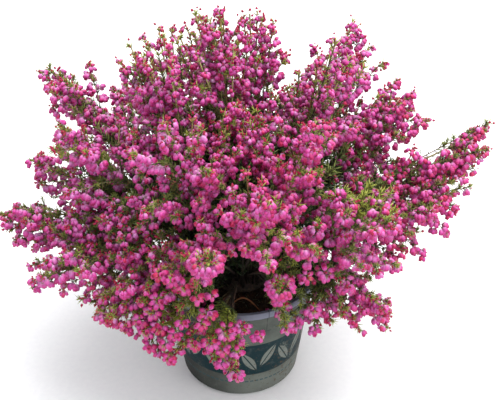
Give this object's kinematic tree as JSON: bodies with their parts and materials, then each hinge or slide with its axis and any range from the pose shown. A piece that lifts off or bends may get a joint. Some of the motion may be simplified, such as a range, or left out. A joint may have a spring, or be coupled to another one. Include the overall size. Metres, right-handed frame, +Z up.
{
  "type": "potted cape heath",
  "caption": "Bushy cape heath covered in small pink bell flowers, in a round grey plastic nursery pot with compost.",
  "frame": {"origin": "middle of the pot's flat underside, on the pot's axis", "axes": "+Z up along the pot's axis; -Y towards the front, where the shoots part and the compost shows; +X towards the longest shoot, on the right"},
  "size_m": [0.3547, 0.2907, 0.3019],
  "materials": {
    "pot_plastic": "satin",
    "compost": "matte",
    "bark": "matte",
    "foliage": "matte",
    "bloom": "matte"
  },
  "bodies": {
    "root": {"pot": "pot_plastic", "soil": "compost", "crown": "bark", "stem_01": "bark", "stem_02": "bark", "stem_03": "bark", "stem_04": "bark", "stem_05": "bark", "stem_06": "bark", "stem_07": "bark", "stem_08": "bark", "stem_09": "bark", "stem_10": "bark", "stem_11": "bark", "stem_12": "bark", "stem_13": "bark", "stem_14": "bark", "stem_15": "bark", "stem_16": "bark", "stem_17": "bark", "stem_18": "bark", "stem_19": "bark", "stem_20": "bark", "stem_21": "bark", "stem_22": "bark", "stem_23": "bark", "stem_24": "bark", "stem_25": "bark", "stem_26": "bark", "stem_27": "bark", "stem_28": "bark", "spray_01": "bloom", "spray_02": "bloom", "spray_03": "bloom", "spray_04": "bloom", "spray_05": "bloom", "spray_06": "bloom", "spray_07": "bloom", "spray_08": "bloom", "spray_09": "bloom", "spray_10": "bloom", "spray_11": "bloom", "spray_12": "bloom", "spray_13": "bloom", "spray_14": "bloom", "spray_15": "bloom", "spray_16": "bloom", "spray_17": "bloom", "spray_18": "bloom", "spray_19": "bloom", "spray_20": "bloom", "spray_21": "bloom", "spray_22": "bloom", "spray_23": "bloom", "spray_24": "bloom", "spray_25": "bloom", "spray_26": "bloom", "spray_27": "bloom", "spray_28": "bloom"}
  },
  "joints": []
}
